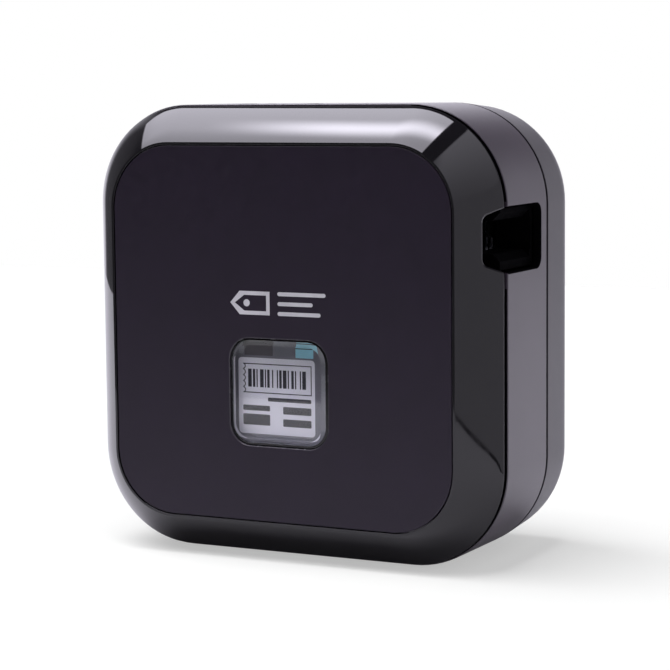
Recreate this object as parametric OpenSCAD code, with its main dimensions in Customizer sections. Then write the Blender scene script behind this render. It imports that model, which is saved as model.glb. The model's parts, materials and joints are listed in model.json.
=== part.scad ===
// Label maker: an upright rounded-square printer that holds a 24 mm tape cassette behind a hinged lid.
// Millimetres. X runs to the right, Y to the back, Z up. The origin is the middle of the bottom.

/* [Body] */
// Width of the case
body_w = 128; // [126:0.5:132]
// Height of the whole machine, standing on its feet
body_h = 128; // [126:0.5:132]
// Depth from the lid's face to the back
body_d = 67; // [66:0.5:70]
// Radius of the case's four corners, seen from the front
corner_r = 28.4; // [26:0.2:30]
// Thickness of the case walls
wall = 2.2; // [1.8:0.1:2.4]
// How far the rubber feet stand proud of the case
foot_proud = 0.3; // [0.2:0.1:0.5]

/* [Lid] */
// How far the lid's sloping shoulder runs in from the outline
face_inset = 10.35; // [9.5:0.05:11]
// Corner radius of the lid's flat face
face_r = 18.9; // [17:0.1:20]
// Clearance between the lid and the mid frame
lid_gap = 0.9; // [0.8:0.05:1]
// Width of the clear window
window_w = 30.1; // [26:0.1:32]
// Height of the clear window
window_h = 29.5; // [26:0.1:31]
// Corner radius of the window
window_r = 6; // [4:0.5:8]

/* [Tape] */
// Width of the label tape
tape_w = 24; // [18:1:24]
// Height of the tape path above the table
tape_z = 91.2; // [91:0.05:91.3]
// Radius of the full label tape roll
label_roll_r = 19.5; // [12:0.5:19.5]

/* [Drive] */
// Module of the drive gears
gear_m = 0.8; // [0.8:0.1:0.8]
// Teeth on the feed roller's gear
feed_teeth = 20; // [20:1:20]
// Teeth on the idler's small gear
idler_small_teeth = 15; // [15:1:15]
// Teeth on the idler's large gear
idler_large_teeth = 40; // [40:1:40]
// Teeth on the ribbon take-up gear
take_up_teeth = 24; // [24:1:24]
// Teeth on the motor pinion
motor_teeth = 12; // [12:1:12]
// Teeth a full turn of the cutter sector would have
sector_teeth = 36; // [36:1:36]
// Teeth on the cutter pinion
cutter_teeth = 10; // [10:1:10]

/* [Hidden] */

eps = 0.01;
// Planes along the depth
front_y = -body_d / 2;
back_y = body_d / 2;
part_y = -21.7;
lid_rear_y = part_y - lid_gap / 2;
mid_front_y = part_y + lid_gap / 2;
mid_rear_y = 6.65;
cover_front_y = 7.15;
cover_round_y = back_y - 12.9;
cover_round_r = back_y - cover_round_y;
cover_draft = 0.9;
panel_t = 1.2;
panel_y = front_y + panel_t;
lid_inner_y = front_y + 2.5;
shoulder_slope = face_inset / (lid_rear_y - front_y);
shoulder_bulge = 0.4;
// Case height without the feet, and its middle
case_h = body_h - foot_proud;
case_z = foot_proud + case_h / 2;
// Window centre
window_x = 0;
window_z = 48;
// Hinge axis of the lid, a little behind the lid and close to the left side
hinge_x = -body_w / 2 + 2.5;
hinge_y = mid_front_y + 2.5;
hinge_pin_r = 0.75;
hinge_heights = [38, 88];
hinge_h = 9;
// Catch tongues on the lid's right-hand side
tongue_heights = [48, 72];
// Tape exit
exit_z = 91.5;
exit_h = 17.8;
exit_rear_y = 2.4;
exit_front_y = -27.2;
lid_notch_r = 1.6;
lid_notch_taper = 1.9;
// Buttons
button_y = -7.3;
power_x = -20;
feed_x = 6;
button_top_z = body_h - 0.1;
// Chassis plate
plate_front_y = 1;
plate_rear_y = 2.5;
plate_right_x = 46.2;
// Tape and its guides
tape_y0 = -14 - tape_w / 2;
tape_y1 = -14 + tape_w / 2;
tape_t = 0.16;
feed_r = 4.2;
platen_r = 4.8;
nip_r = 4.5;
roller_gap = 0.07;
feed_pos = [36, tape_z - tape_t / 2 - roller_gap - feed_r];
platen_pos = [20, tape_z + tape_t / 2 + roller_gap + platen_r];
nip_pos = [36, tape_z + tape_t / 2 + roller_gap + nip_r];
pivot_pos = [-4, 104];
// Spools inside the cassette
label_pos = [-22, 58];
film_pos = [15, 46];
ribbon_pos = [-7, 83];
film_r = 12;
ribbon_r = 6.5;
take_up_r = 6.5;
// Drive train: the centres follow from the teeth
pressure = 25;
gear_front = [3.6, 6.4];
gear_rear = [6.8, 9.6];
function gear_r(teeth) = teeth * gear_m / 2;
function polar(p, r, a) = [p[0] + r * cos(a), p[1] + r * sin(a)];
feed_dir = 20;
take_dir = 215;
motor_dir = 170;
idler_pos = polar(feed_pos, gear_r(feed_teeth) + gear_r(idler_small_teeth), feed_dir + 180);
take_pos = polar(idler_pos, gear_r(idler_small_teeth) + gear_r(take_up_teeth), take_dir);
motor_pos = polar(idler_pos, gear_r(idler_large_teeth) + gear_r(motor_teeth), motor_dir);
// Cutter: the blade swings about X in the plane beside the fixed blade
cutter_pos = [6, 86];
cutter_rest = 22;
blade_x = 48.65;
blade_t = 0.8;
fixed_x = 47.75;
pinion_pos = [cutter_pos[0] + gear_r(sector_teeth) + gear_r(cutter_teeth), cutter_pos[1]];
// Case screws
screw_x = 40;
screw_heights = [22, 106];
// Cells
cell_r = 9.2;
cell_l = 65;
cell_y = 20.5;
cell_heights = [18, 37.2];
// Colours
satin_grey = "#706773";
gloss_black = "#1c1a1e";
face_black = "#2a2630";
plastic_black = "#222224";
steel = "#b9bcc2";

// ---- outlines and helpers ----

// Rounded rectangle centred on the origin, its corners made of straight chords
module rounded(w, h, r, n = 10) {
    a = w / 2 - r;
    b = h / 2 - r;
    polygon([for (q = [0 : 3]) for (i = [0 : n]) let (t = q * 90 + i * 90 / n)
        [(q == 0 || q == 3 ? a : -a) + r * cos(t), (q < 2 ? b : -b) + r * sin(t)]]);
}

// A flat outline in X and Z, thickened from y0 to y1
module along_y(y0, y1) {
    translate([0, y1, 0]) rotate([90, 0, 0]) linear_extrude(y1 - y0) children();
}

// A flat outline in Y and Z, thickened from x0 to x1
module along_x(x0, x1) {
    translate([x0, 0, 0]) rotate([90, 0, 90]) linear_extrude(x1 - x0) children();
}

// A rod along Y at p = [x, z]
module rod_y(p, r, y0, y1, fn = 48) {
    translate([p[0], y1, p[1]]) rotate([90, 0, 0]) cylinder(r = r, h = y1 - y0, $fn = fn);
}

// A rod along X at p = [y, z]
module rod_x(p, r, x0, x1, fn = 48) {
    translate([x0, p[0], p[1]]) rotate([0, 90, 0]) cylinder(r = r, h = x1 - x0, $fn = fn);
}

// A box from its low corner to its high corner
module block(low, high) {
    translate(low) cube(high - low);
}

// The case outline drawn in by a distance, thickened from y0 to y1
module case_slab(inset, y0, y1, r = -1) {
    radius = r < 0 ? max(corner_r - inset, 1) : r;
    along_y(y0, y1) translate([0, case_z]) rounded(body_w - 2 * inset, case_h - 2 * inset, radius);
}

// The window outline grown by a distance
module window_slab(grow, y0, y1) {
    along_y(y0, y1) translate([window_x, window_z])
        rounded(window_w + 2 * grow, window_h + 2 * grow, window_r + grow, 8);
}

// A band of thickness t along a list of points
function unit(v) = v / norm(v);
function side_of(p, i) =
    let (a = p[max(i - 1, 0)], b = p[min(i + 1, len(p) - 1)], d = unit(b - a)) [-d[1], d[0]];
module band(p, t) {
    n = len(p);
    polygon(concat([for (i = [0 : n - 1]) p[i] + side_of(p, i) * t / 2],
        [for (i = [n - 1 : -1 : 0]) p[i] - side_of(p, i) * t / 2]));
}

// Points on an arc about c
function arc(c, r, a0, a1, n) = [for (i = [0 : n]) polar(c, r, a0 + (a1 - a0) * i / n)];

// Involute teeth: half the tooth's angle at radius r, then one tooth's outline about angle a
function involute(a) = tan(a) * 180 / PI - a;
function half_tooth(teeth, r) =
    let (base = gear_r(teeth) * cos(pressure), clear = 1.2)
    (90 - clear * 3) / teeth + involute(pressure) - involute(acos(min(1, base / max(r, base))));
function tooth(teeth, a) =
    let (root = gear_r(teeth) - gear_m, tip = gear_r(teeth) + 0.75 * gear_m,
        low = max(root, gear_r(teeth) * cos(pressure)),
        radii = [root, low + eps, (low + tip) / 2, tip])
    concat([for (r = radii) polar([0, 0], r, a - half_tooth(teeth, r))],
        [for (i = [3 : -1 : 0]) polar([0, 0], radii[i], a + half_tooth(teeth, radii[i]))]);
module gear(teeth, phase) {
    polygon([for (k = [0 : teeth - 1]) each tooth(teeth, phase + k * 360 / teeth)]);
}

// The phase that puts gear b in mesh with gear a, when b lies at angle dir from a
function mesh_phase(dir, teeth_a, phase_a, teeth_b) =
    dir + 180 - 360 / teeth_b * (0.5 - (dir - phase_a) * teeth_a / 360);
idler_small_phase = 0;
feed_phase = mesh_phase(feed_dir, idler_small_teeth, idler_small_phase, feed_teeth);
take_phase = mesh_phase(take_dir, idler_small_teeth, idler_small_phase, take_up_teeth);
motor_phase = mesh_phase(motor_dir, idler_large_teeth, 0, motor_teeth);
cutter_phase = mesh_phase(0, sector_teeth, 0, cutter_teeth);

// Shoulder section number i of n: its inset and its depth, on a shallow outward curve
function shoulder(i, n) =
    let (t = i / n, b = 4 * shoulder_bulge * t * (1 - t))
    [face_inset * t - b * 0.74, lid_rear_y + (front_y - lid_rear_y) * t - b * 0.67];

// Back cover section number i of n: a quarter round from the sides to the back face
function rear_round(i, n, r) = [cover_draft + cover_round_r - r * cos(90 * i / n),
    cover_round_y + r * sin(90 * i / n)];

// ---- case ----

module mid_frame() {
    color(satin_grey) difference() {
        union() {
            difference() {
                case_slab(0, mid_front_y, mid_rear_y);
                case_slab(wall, mid_front_y - 1, mid_rear_y + 1);
            }
            // ledge behind the chassis plate
            difference() {
                case_slab(wall - 0.2, plate_rear_y, 4.2);
                case_slab(5, plate_rear_y - 1, 5);
            }
            // upright rib that carries the hinge pin
            block([-body_w / 2 + 0.3, mid_front_y + eps, 27], [hinge_x + 3.5, -14.5, 101]);
        }
        // left front edge, rounded about the hinge axis
        translate([0, 0, 12]) linear_extrude(104) polygon(concat(
            arc([hinge_x, hinge_y], 2.5, 180, 270, 8),
            [[hinge_x, mid_front_y - 2], [-body_w / 2 - 2, mid_front_y - 2], [-body_w / 2 - 2, hinge_y]]));
        for (z = hinge_heights) block([-body_w / 2 - 1, mid_front_y - 1, z - 0.25],
            [hinge_x + 4.8, hinge_y + 2.85, z + hinge_h + 0.25]);
        translate([hinge_x, hinge_y, 29]) cylinder(r = hinge_pin_r, h = 70, $fn = 32);
        // tape exit
        along_x(body_w / 2 - 6, body_w / 2 + 1) translate([(exit_rear_y - 40) / 2, exit_z])
            rounded(exit_rear_y + 40, exit_h, 3, 6);
        // button and light pipe holes
        translate([power_x, button_y, body_h - 4]) cylinder(r = 5.25, h = 5, $fn = 48);
        translate([feed_x, button_y, body_h - 4]) linear_extrude(5) rounded(18.5, 8.5, 4, 8);
        translate([24, button_y, body_h - 4]) cylinder(r = 1.25, h = 5, $fn = 32);
        for (x = [-28, 28]) translate([x, -16, -1]) cylinder(r = 4.2, h = 2.5, $fn = 40);
    }
}

module back_cover() {
    n = 6;
    color(satin_grey) difference() {
        union() {
            difference() {
                hull() {
                    case_slab(0, cover_front_y, cover_front_y + eps);
                    for (i = [0 : n]) let (s = rear_round(i, n, cover_round_r))
                        case_slab(s[0], s[1] - eps, s[1]);
                }
                hull() {
                    case_slab(wall, cover_front_y - 1, cover_front_y);
                    for (i = [0 : n]) let (s = rear_round(i, n, cover_round_r - wall))
                        case_slab(s[0], s[1] - eps, s[1], max(corner_r - s[0] + 0.4, 1));
                }
            }
            // lip that reaches inside the mid frame, on a ring that joins it to the wall
            difference() {
                union() {
                    case_slab(wall + 0.15, 4.4, cover_front_y + 1);
                    case_slab(wall - 0.3, cover_front_y, cover_front_y + 1);
                }
                case_slab(wall + 1.2, 4, cover_front_y + 2);
            }
            for (x = [-screw_x, screw_x]) for (z = screw_heights)
                rod_y([x, z], 4, cover_front_y, back_y - 1);
        }
        for (x = [-screw_x, screw_x]) for (z = screw_heights) {
            rod_y([x, z], 1.5, cover_front_y - 1, back_y + 1, 32);
            rod_y([x, z], 2.9, back_y - 3.5, back_y + 1, 32);
        }
        block([-body_w / 2 - 1, 12.3, 65.6], [-body_w / 2 + 6, 16.3, 74.4]);
        for (x = [-28, 28]) translate([x, 15, -1]) cylinder(r = 4.2, h = 3, $fn = 40);
    }
}

module rubber_feet() {
    color("#1b1b1b") for (x = [-28, 28]) for (y = [-16, 15]) hull() {
        translate([x, y, 0]) cylinder(r = 3.6, h = 0.1, $fn = 32);
        translate([x, y, 0.4]) cylinder(r = 4, h = y < 0 ? 1.1 : 1.6, $fn = 32);
    }
}

module case_screws() {
    color(steel) for (x = [-screw_x, screw_x]) for (z = screw_heights) difference() {
        union() {
            rod_y([x, z], 1.2, plate_rear_y + 0.6, back_y - 3.5, 24);
            rod_y([x, z], 2.6, back_y - 3.5, back_y - 1.6, 32);
        }
        for (a = [0, 90]) translate([x, back_y - 2, z]) rotate([0, a, 0]) cube([2.8, 1.4, 0.7], center = true);
    }
}

module hinge_pin() {
    color(steel) translate([hinge_x, hinge_y, 29]) cylinder(r = hinge_pin_r, h = 70, $fn = 32);
}

// ---- lid ----

// The lid's part of the tape exit: it narrows towards the front, with rounded front corners
module lid_cut(x0, grow) {
    half = exit_h / 2 + grow;
    r = lid_notch_r + grow;
    corner = arc([exit_front_y - grow + r, half - lid_notch_taper - r], r, 115, 180, 5);
    top = concat([[20, half], [lid_rear_y + 0.3, half]], corner);
    bottom = [for (i = [len(top) - 1 : -1 : 0]) [top[i][0], -top[i][1]]];
    along_x(x0, body_w / 2 + 1) translate([0, exit_z]) polygon(concat(top, bottom));
}

module lid_shell() {
    n = 5;
    inner_rear = wall * sqrt(1 + shoulder_slope * shoulder_slope);
    inner_front = inner_rear + shoulder_slope * (lid_rear_y - lid_inner_y);
    color(gloss_black) difference() {
        hull() for (i = [0 : n]) let (s = shoulder(i, n), w = i / n)
            case_slab(s[0], s[1], s[1] + eps, corner_r * (1 - w) + face_r * w);
        hull() {
            case_slab(inner_rear, lid_rear_y - 0.5, lid_rear_y + 1);
            case_slab(inner_front, lid_inner_y, lid_inner_y + eps);
        }
        case_slab(face_inset + 0.6, front_y - 1, panel_y, face_r - 0.6);
        window_slab(0.45, front_y - 1, lid_inner_y + 1);
        lid_cut(body_w / 2 - 14, 0);
    }
}

module face_panel() {
    color(face_black) difference() {
        case_slab(face_inset + 0.75, front_y, panel_y, face_r - 0.75);
        window_slab(0.45, front_y - 1, panel_y + 1);
    }
}

module window_gasket() {
    color("#101012") difference() {
        window_slab(0.43, front_y + 0.5, lid_inner_y);
        window_slab(0.02, front_y - 1, lid_inner_y + 1);
    }
}

module window_lens() {
    color([0.75, 0.78, 0.8, 0.4]) {
        hull() {
            window_slab(-0.9, front_y + 0.1, front_y + 0.11);
            window_slab(0, front_y + 0.9, lid_inner_y);
        }
        window_slab(2, lid_inner_y, lid_inner_y + 0.8);
    }
}

module lid_liner() {
    ring_out = 6;
    ring_in = 9;
    color(plastic_black) difference() {
        union() {
            difference() {
                case_slab(ring_out, lid_rear_y - 2.4, lid_rear_y);
                case_slab(ring_in, lid_rear_y - 4, lid_rear_y + 1);
            }
            for (z = hinge_heights) {
                translate([hinge_x, hinge_y, z]) cylinder(r = 2.1, h = hinge_h, $fn = 40);
                block([hinge_x, hinge_y - 2, z], [hinge_x + 4.3, hinge_y - 0.2, z + hinge_h]);
                block([hinge_x + 2.5, lid_rear_y - 2.2, z], [hinge_x + 4.3, hinge_y - 0.2, z + hinge_h]);
                block([hinge_x + 2.5, lid_rear_y - 2.2, z], [hinge_x + 5, lid_rear_y - 0.1, z + hinge_h]);
            }
            for (z = tongue_heights) block([56, lid_rear_y - 2, z], [57.6, -17, z + 7]);
        }
        for (z = hinge_heights) translate([hinge_x, hinge_y, z - 1])
            cylinder(r = hinge_pin_r + 0.05, h = hinge_h + 2, $fn = 32);
        lid_cut(body_w / 2 - 14, 0.3);
    }
}

// ---- buttons and electronics ----

module button_stem(x) {
    translate([x, button_y, 120.9]) cylinder(r = 1.6, h = 3.4, $fn = 24);
}

module power_button() {
    color(gloss_black) {
        translate([power_x, button_y, 124]) cylinder(r = 5, h = button_top_z - 124, $fn = 48);
        translate([power_x, button_y, 124]) cylinder(r = 5.9, h = 1.5, $fn = 48);
        button_stem(power_x);
    }
}

module feed_button() {
    color(gloss_black) {
        translate([feed_x, button_y, 124]) linear_extrude(button_top_z - 124) rounded(18, 8, 3.8, 8);
        translate([feed_x, button_y, 124]) linear_extrude(1.5) rounded(19.6, 9.6, 4.6, 8);
        button_stem(feed_x);
    }
}

module button_board() {
    color("#1f5e3a") difference() {
        block([-34, -15, 116.8], [30, 0, 118.4]);
        for (x = [-31, 27]) translate([x, button_y, 116]) cylinder(r = 1.1, h = 4, $fn = 24);
    }
}

module tact_switches() {
    color("#3a3a3c") for (x = [power_x, feed_x]) {
        block([x - 3, button_y - 3, 118.4], [x + 3, button_y + 3, 119.6]);
        translate([x, button_y, 119.6]) cylinder(r = 1.2, h = 0.6, $fn = 24);
    }
}

module light_pipe() {
    color([0.85, 0.95, 0.9, 0.6]) {
        translate([24, button_y, 119.4]) cylinder(r = 1.15, h = button_top_z - 119.4, $fn = 32);
        translate([24, button_y, 118.4]) cylinder(r = 2, h = 1, $fn = 32);
    }
}

module main_board() {
    color("#1f5e3a") difference() {
        block([-55, 16, 54], [-12, 17.6, 100]);
        for (x = [-51, -16]) for (z = [58, 96]) rod_y([x, z], 1.4, 15, 18.5, 24);
    }
}

module board_chips() {
    color("#17181a") {
        block([-38, 14.9, 70], [-26, 16, 82]);
        block([-24, 15.1, 62], [-16, 16, 68]);
        block([-36, 15.2, 57], [-30, 16, 62]);
        for (z = [86, 90, 94]) block([-42, 15.3, z], [-38, 16, z + 2]);
    }
}

module board_connectors() {
    color("#e9e4d4") {
        block([-34, 12, 84.5], [-27, 15.9, 89.5]);
        block([-24, 17.6, 56], [-16, 23, 61]);
        for (z = [72, 80]) block([-19, 17.6, z], [-13, 22, z + 6]);
    }
}

module radio_module() {
    color("#c4c6ca") block([-54, 17.6, 84], [-42, 19.8, 98]);
}

module usb_socket() {
    color("#c4c6ca") difference() {
        block([-62.4, 12.8, 66], [-55.5, 16, 74]);
        block([-64, 13.3, 66.5], [-58, 15.5, 73.5]);
    }
}

module battery_cells() {
    color("#3c6fa8") for (z = cell_heights) {
        rod_x([cell_y, z], cell_r, -cell_l / 2, cell_l / 2);
        rod_x([cell_y, z], 3, cell_l / 2, cell_l / 2 + 0.8, 24);
    }
}

module battery_holder() {
    color(plastic_black) difference() {
        block([-35, 10, 7], [35, 20, 48]);
        for (z = cell_heights) rod_x([cell_y, z], cell_r + 0.1, -cell_l / 2 - 1, cell_l / 2 + 1.5);
    }
}

// ---- chassis and drive ----

module chassis_plate() {
    color("#4c4c50") difference() {
        union() {
            intersection() {
                case_slab(wall + 0.15, plate_front_y, plate_rear_y);
                block([-70, 0, -5], [plate_right_x, 4, 140]);
            }
            for (x = [-screw_x, screw_x]) for (z = screw_heights) rod_y([x, z], 3.5, plate_front_y, 7);
            for (p = [[-8, 70], [38.8, 68.6], [-8, 98]]) rod_y(p, 1.8, plate_rear_y - eps, 10, 24);
            for (p = [feed_pos, take_pos]) rod_y(p, 2.6, plate_rear_y - eps, 3.5, 32);
            rod_y(pivot_pos, 3, plate_rear_y - eps, 5, 32);
        }
        for (x = [-screw_x, screw_x]) for (z = screw_heights) rod_y([x, z], 1.2, 3.1, 8, 24);
        for (p = [feed_pos, take_pos]) rod_y(p, 1.55, 0, 5, 32);
        rod_y(idler_pos, 1.2, 0, 5, 32);
        rod_y(pivot_pos, 1.5, 0, 4, 32);
        block([15.3, 0, 83.5], [16.7, 4, 90.5]);
        for (z = [41, 45, 49]) rod_y([-30, z], 0.75, 0, 4, 24);
    }
}

module cassette_posts() {
    color("#4c4c50") for (p = [[-39, 37], [36, 37]]) {
        rod_y(p, 2.4, -6, plate_front_y, 32);
        translate([p[0], -6, p[1]]) rotate([90, 0, 0]) cylinder(r1 = 2.4, r2 = 1.2, h = 2, $fn = 32);
    }
}

module cassette_switch() {
    color("#2d2d30") block([-33, plate_rear_y, 38], [-27, 6.5, 52]);
    color("#e9e4d4") for (z = [41, 45, 49]) rod_y([-30, z], 0.6, 0.45, plate_rear_y, 24);
}

module print_head() {
    color("#d8d2c4") difference() {
        block([17.5, -26.2, 89.6], [25.5, -0.6, 91]);
        block([16, -27, 90.6], [19, 0, 92]);
    }
    color("#2b2118") block([19.6, -26, 90.9], [20.4, -1, 91.03]);
}

module head_heatsink() {
    color(steel) {
        block([17.5, -26.4, 87.2], [25.5, plate_front_y, 89.6]);
        for (x = [17.5 : 1.7 : 25]) block([x, -26.4, 83.2], [x + 0.9, plate_front_y, 87.2 + eps]);
    }
}

module head_flat_cable() {
    color("#c98f3c") translate([0, 0, 84]) linear_extrude(6)
        band([[16.2, -24], [16.2, 2.6], [15.8, 3], [-29.6, 3], [-30, 3.4], [-30, 12]], 0.2);
}

module holder_pivot() {
    color(steel) rod_y(pivot_pos, 1.5, -28.6, 4, 32);
}

module holder_spring() {
    color(steel) for (i = [0 : 5]) translate([pivot_pos[0], -10 - i * 0.84, pivot_pos[1]])
        rotate([90, 0, 0]) rotate_extrude($fn = 40) translate([2.3, 0]) circle(r = 0.4, $fn = 16);
}

module platen_holder() {
    color("#5b5b60") difference() {
        union() {
            for (y = [-28.2, -0.6]) along_y(y, y + 1) polygon([[-9, 100.6], [-9, 107.4], [0, 107.4],
                [40.6, 101.2], [40.6, 93.4], [15.6, 93.4], [12, 98.4], [0, 100.6]]);
            block([3, -28.2, 101.5], [39.5, 0.4, 103.2]);
        }
        rod_y(pivot_pos, 1.55, -30, 2, 32);
        for (p = [platen_pos, nip_pos]) rod_y(p, 1.55, -30, 2, 32);
        // keep the bar's upper edge inside the cheeks' slope
        along_y(-30, 2) polygon([[2, 107.5], [41, 101.15], [44, 101], [44, 110], [2, 110]]);
    }
}

module roller(p, r) {
    color("#2a2a2c") rod_y(p, r, tape_y0, tape_y1);
    color(steel) rod_y(p, 1.5, -28.8, 0.4, 32);
}

module platen_roller() {
    roller(platen_pos, platen_r);
}

module nip_roller() {
    roller(nip_pos, nip_r);
}

module feed_motor() {
    color(steel) difference() {
        union() {
            rod_y(motor_pos, 11, 11, 27, 64);
            rod_y(motor_pos, 3, 27, 28.6, 32);
        }
        rod_y(motor_pos, 1.05, 10, 13, 24);
    }
}

module motor_pinion() {
    color("#d9c37a") along_y(gear_rear[0], gear_rear[1]) translate(motor_pos) gear(motor_teeth, motor_phase);
    color(steel) rod_y(motor_pos, 1, gear_rear[1] - eps, 12.5, 24);
}

module idler_gear() {
    color("#efece2") difference() {
        union() {
            along_y(gear_rear[0], gear_rear[1]) translate(idler_pos) gear(idler_large_teeth, 0);
            along_y(gear_front[0], gear_front[1]) translate(idler_pos)
                gear(idler_small_teeth, idler_small_phase);
            rod_y(idler_pos, 3.6, gear_front[1] - eps, gear_rear[0] + eps, 32);
        }
        rod_y(idler_pos, 1.25, 0, 12, 32);
    }
}

module idler_axle() {
    color(steel) rod_y(idler_pos, 1.2, plate_front_y, 11, 32);
}

module drive_gear() {
    color("#efece2") along_y(gear_front[0], gear_front[1]) translate(feed_pos) gear(feed_teeth, feed_phase);
    color(steel) rod_y(feed_pos, 1.5, -24, gear_front[0] + eps, 32);
}

module take_up_gear() {
    color("#efece2") along_y(gear_front[0], gear_front[1]) translate(take_pos)
        gear(take_up_teeth, take_phase);
    color(steel) rod_y(take_pos, 1.5, -20, gear_front[0] + eps, 32);
}

module gearbox_plate() {
    color(steel) difference() {
        along_y(10, 11) translate([15.5, 83.4]) rounded(54, 36, 3, 6);
        rod_y(motor_pos, 1.4, 9, 12, 24);
        rod_y(idler_pos, 1.2, 9, 12, 32);
    }
}

// ---- cutter ----

module cutter_bracket() {
    color(steel) difference() {
        along_x(plate_right_x, fixed_x) polygon([[-26.5, 78], [-26.5, 90.2], [1, 90.2], [2, 92],
            [11, 92], [12, 90], [12, 66], [-4, 66], [-20, 78]]);
        rod_x(cutter_pos, 1.5, plate_right_x - 1, fixed_x + 1, 32);
        for (y = [-22, -4]) rod_x([y, 83], 1, plate_right_x - 1, fixed_x + 1, 24);
    }
}

module fixed_blade() {
    color("#d5d8dc") difference() {
        along_x(fixed_x, fixed_x + 0.8) polygon([[-26.8, 80], [-26.8, 90.95], [1.2, 90.95], [1.2, 80]]);
        for (y = [-22, -4]) rod_x([y, 83], 1, fixed_x - 1, fixed_x + 2, 24);
        // ground bevel below the cutting edge
        translate([fixed_x, 0, 90.95]) rotate([0, -30, 0]) translate([-2, -30, 0]) cube([4, 40, 2]);
    }
}

module moving_blade() {
    color("#d5d8dc") difference() {
        union() {
            rod_x(cutter_pos, 4.4, blade_x, blade_x + blade_t, 40);
            // blade arm, drawn closed and then raised to rest
            along_x(blade_x, blade_x + blade_t)
                translate(cutter_pos) rotate(-cutter_rest) translate(-cutter_pos)
                polygon([[7, 82.4], [4, 82.2], [1, 88.6], [-29, 89.8], [-29.5, 93], [-24, 97], [2, 96], [7, 89.6]]);
            // toothed sector at the tail
            along_x(blade_x, blade_x + blade_t) translate(cutter_pos) polygon(concat([[-1, -3.4]],
                [for (k = [-3 : 1]) each tooth(sector_teeth, k * 360 / sector_teeth)], [[-1, 3.4]]));
        }
        rod_x(cutter_pos, 1.55, blade_x - 1, blade_x + 2, 32);
    }
}

module cutter_pivot() {
    color(steel) {
        rod_x(cutter_pos, 1.5, plate_right_x, blade_x + blade_t + 0.2, 32);
        rod_x(cutter_pos, 2.6, blade_x + blade_t + 0.2, blade_x + blade_t + 1, 32);
    }
}

module cutter_motor() {
    color(steel) difference() {
        rod_x(pinion_pos, 6, 27, 46, 48);
        rod_x(pinion_pos, 1.05, 43, 47, 24);
    }
}

module cutter_pinion() {
    color("#d9c37a") along_x(blade_x - 0.5, blade_x + blade_t + 0.5) translate(pinion_pos)
        gear(cutter_teeth, cutter_phase);
    color(steel) rod_x(pinion_pos, 1, 44, blade_x - 0.49, 24);
}

module exit_throat() {
    color(plastic_black) difference() {
        block([51, mid_front_y + 0.3, 83.2], [61.5, 1.9, 99.8]);
        block([50, -30, 87.5], [63, 0.8, 96.5]);
        // flare towards the outside
        for (s = [-1, 1]) translate([61.5, -30, exit_z + 0.6 + s * 4.5]) rotate([0, 45, 0])
            cube([3, 60, 3], center = true);
    }
}

// ---- cassette ----

// The cassette's outline drawn in by a distance, with a bay for the print head at the top
function cassette_outline(e) = [[-44 + e, 31 + e], [42 - e, 31 + e], [42 - e, 90.2 - e],
    [29.2 + e, 90.2 - e], [29.2 + e, 80.8 - e], [13.8 - e, 80.8 - e], [13.8 - e, 90.2 - e],
    [8 - e, 90.2 - e], [8 - e, 93 - e], [-44 + e, 93 - e]];
cassette_front_y = -28;
cassette_split_y = -14;
cassette_rear_y = 0.3;
shell_t = 1.1;

module cassette_cuts() {
    // tape and ribbon leave through the step, the feed roller stands out of the arm
    block([5.5, tape_y0 - 0.3, 90.7], [14, tape_y1 + 0.3, 91.6]);
    block([30.3, tape_y0 - 0.3, 88], [31.5, tape_y1 + 0.3, 91]);
    rod_y(feed_pos, feed_r + 0.4, tape_y0 - 0.3, tape_y1 + 0.3);
}

module cassette_front_shell() {
    color("#8f8f96") difference() {
        along_y(cassette_front_y, cassette_split_y) polygon(cassette_outline(0));
        along_y(cassette_front_y + shell_t, cassette_split_y + 1) polygon(cassette_outline(shell_t));
        // the label lies in a shallow recess
        along_y(cassette_front_y - 1, cassette_front_y + 0.2) translate([-3, 48.2]) rounded(52, 27.2, 1.5, 5);
        cassette_cuts();
    }
}

module cassette_back_shell() {
    color("#8f8f96") difference() {
        union() {
            difference() {
                along_y(cassette_split_y, cassette_rear_y) polygon(cassette_outline(0));
                along_y(cassette_split_y - 1, cassette_rear_y - shell_t) polygon(cassette_outline(shell_t));
            }
            rod_y(label_pos, 5.8, cassette_front_y + shell_t, cassette_rear_y - shell_t + eps);
            rod_y(film_pos, 3.8, cassette_front_y + shell_t, cassette_rear_y - shell_t + eps);
            rod_y(ribbon_pos, 2.5, cassette_front_y + shell_t, cassette_rear_y - shell_t + eps);
            rod_y([-38.6, 88.1], 2.9, cassette_front_y + shell_t, cassette_rear_y - shell_t + eps, 32);
        }
        rod_y(feed_pos, 2, -5, 2, 32);
        rod_y(take_pos, 2, -5, 2, 32);
        for (p = [[-39, 37], [36, 37]]) rod_y(p, 2.6, -9, 2, 32);
        cassette_cuts();
    }
}

module cassette_label() {
    color("#c3bfcd") along_y(cassette_front_y, cassette_front_y + 0.19) translate([-3, 48.2])
        rounded(51.6, 26.8, 1.4, 5);
}

module spool(p, r, hub, bore) {
    difference() {
        union() {
            rod_y(p, r, tape_y0, tape_y1, 64);
            rod_y(p, hub, tape_y0 - 0.6, tape_y1 + 0.6);
        }
        rod_y(p, bore, tape_y0 - 2, tape_y1 + 2);
    }
}

module label_tape_roll() {
    color("#e8e6e0") spool(label_pos, label_roll_r, 7.4, 5.85);
}

module film_roll() {
    color("#cfd6da") spool(film_pos, film_r, 5.2, 3.85);
}

module ribbon_supply_spool() {
    color("#26262a") spool(ribbon_pos, ribbon_r, 3.8, 2.55);
}

module ribbon_take_up_spool() {
    color("#26262a") spool(take_pos, take_up_r, 3.2, 1.5);
}

module cassette_feed_roller() {
    color("#e9e4d4") difference() {
        rod_y(feed_pos, feed_r, tape_y0, tape_y1);
        rod_y(feed_pos, 1.5, tape_y0 - 1, tape_y1 + 1, 32);
    }
}

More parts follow.
